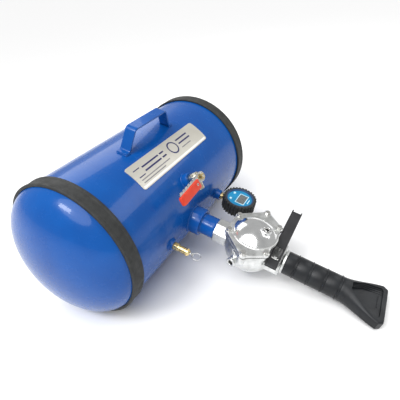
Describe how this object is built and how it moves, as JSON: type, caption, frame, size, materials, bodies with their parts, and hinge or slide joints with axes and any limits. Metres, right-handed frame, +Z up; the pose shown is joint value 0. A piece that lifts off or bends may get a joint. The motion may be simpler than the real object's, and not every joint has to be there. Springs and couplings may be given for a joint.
{
  "type": "portable air receiver tank with quick-dump valve",
  "caption": "Portable compressed-air tank on two rubber bumpers, with handle, gauge, relief valve, inlet ball valve and a trigger-fired dump valve feeding a flat fan nozzle.",
  "frame": {"origin": "on the floor under the middle of the bounding box", "axes": "+X along the tank from the end with the relief valve to the end with the gauge, +Y from the nozzle to the tank, +Z up"},
  "size_m": [0.6424, 0.7324, 0.3565],
  "materials": {
    "blue_enamel": "gloss blue enamel with a slight orange peel",
    "black_rubber": "matte moulded rubber",
    "label_silver": "satin silver printed label",
    "cast_aluminium": "tumbled casting, dome polished",
    "zinc_steel": "bright zinc plate",
    "spring_steel": "drawn wire",
    "brass": "turned pale brass",
    "nickel_plate": "nickel-plated brass",
    "black_lacquer": "satin black lacquer on pressed steel",
    "black_plastic": "satin moulded nylon",
    "red_vinyl": "soft dipped vinyl",
    "gauge_case_blue": "satin moulded plastic",
    "gauge_face_cyan": "printed overlay",
    "display_grey": "liquid-crystal panel",
    "clear_plastic": "clear window",
    "button_white": "smooth moulded cap"
  },
  "bodies": {
    "tank": {"tank_shell": "blue_enamel", "near_head": "blue_enamel", "far_head": "blue_enamel", "near_bumper": "black_rubber", "far_bumper": "black_rubber", "carry_handle": "blue_enamel", "nameplate": "label_silver", "inlet_bung": "blue_enamel", "gauge_bung": "blue_enamel", "safety_bung": "blue_enamel", "drain_bung": "blue_enamel", "drain_plug": "brass", "outlet_coupling": "blue_enamel", "outlet_nipple": "blue_enamel", "valve_body": "cast_aluminium", "cover_gasket": "black_rubber", "valve_cover": "cast_aluminium", "cover_bolt_1": "zinc_steel", "cover_bolt_2": "zinc_steel", "cover_bolt_3": "zinc_steel", "cover_bolt_4": "zinc_steel", "cover_bolt_5": "zinc_steel", "cover_bolt_6": "zinc_steel", "cover_plug": "zinc_steel", "piston_spring": "spring_steel", "pivot_pin": "zinc_steel", "trigger_spring": "spring_steel", "barrel_collar": "cast_aluminium", "blast_barrel": "black_plastic", "inlet_valve_body": "nickel_plate", "packing_nut": "brass", "safety_body": "brass", "safety_cap": "brass", "safety_spring": "spring_steel", "gauge_stem": "brass", "gauge_boot": "black_rubber", "gauge_case": "gauge_case_blue", "gauge_face": "gauge_face_cyan", "gauge_display": "display_grey", "display_window": "clear_plastic"},
    "inlet_handle": {"valve_ball": "zinc_steel", "valve_stem": "zinc_steel", "inlet_lever": "zinc_steel", "lever_grip": "red_vinyl", "lever_nut": "brass"},
    "trigger": {"trigger_lever": "black_lacquer"},
    "plunger": {"pilot_plunger": "zinc_steel"},
    "piston": {"dump_piston": "cast_aluminium", "piston_seal": "black_rubber"},
    "relief_stem": {"safety_stem": "zinc_steel"},
    "relief_ring": {"pull_ring": "zinc_steel"},
    "button_left": {"gauge_button_left": "button_white"},
    "button_right": {"gauge_button_right": "button_white"}
  },
  "joints": [
    {"name": "inlet_valve_turn", "type": "hinge", "parent": "tank", "child": "inlet_handle", "pos_m": [-0.019, 0.0461, 0.23279], "axis": [0, -0.9072, 0.4207], "range_deg": [0, 87]},
    {"name": "trigger_press", "type": "hinge", "parent": "tank", "child": "trigger", "pos_m": [-0.039, -0.14251, 0.08303], "axis": [0, 0.9689, 0.2474], "range_deg": [0, 8], "stiffness_Nm_per_rad": 2, "springref_deg": -8.59, "deforming": ["trigger_spring"]},
    {"name": "plunger_slide", "type": "slide", "parent": "tank", "child": "plunger", "axis": [0, 0.2474, -0.9689], "range_m": [0, 0.0055]},
    {"name": "piston_lift", "type": "slide", "parent": "tank", "child": "piston", "axis": [0, -0.2474, 0.9689], "range_m": [0, 0.008], "deforming": ["piston_spring"]},
    {"name": "relief_lift", "type": "slide", "parent": "tank", "child": "relief_stem", "axis": [0, -0.9689, -0.2474], "range_m": [0, 0.003], "stiffness_N_per_m": 1500, "springref_m": -0.004, "deforming": ["safety_spring"]},
    {"name": "ring_swing", "type": "hinge", "parent": "relief_stem", "child": "relief_ring", "pos_m": [-0.119, 0.01129, 0.10681], "axis": [1, 0, 0], "range_deg": [-100, 100]},
    {"name": "left_button_press", "type": "slide", "parent": "tank", "child": "button_left", "axis": [0, 0.2474, -0.9689], "range_m": [0, 0.0008], "stiffness_N_per_m": 800, "springref_m": -0.001},
    {"name": "right_button_press", "type": "slide", "parent": "tank", "child": "button_right", "axis": [0, 0.2474, -0.9689], "range_m": [0, 0.0008], "stiffness_N_per_m": 800, "springref_m": -0.001}
  ],
  "couplings": [
    {"joint": "plunger_slide", "follows": "trigger_press", "m_per_rad": 0.037},
    {"joint": "piston_lift", "follows": "trigger_press", "m_per_rad": 0.0572}
  ]
}
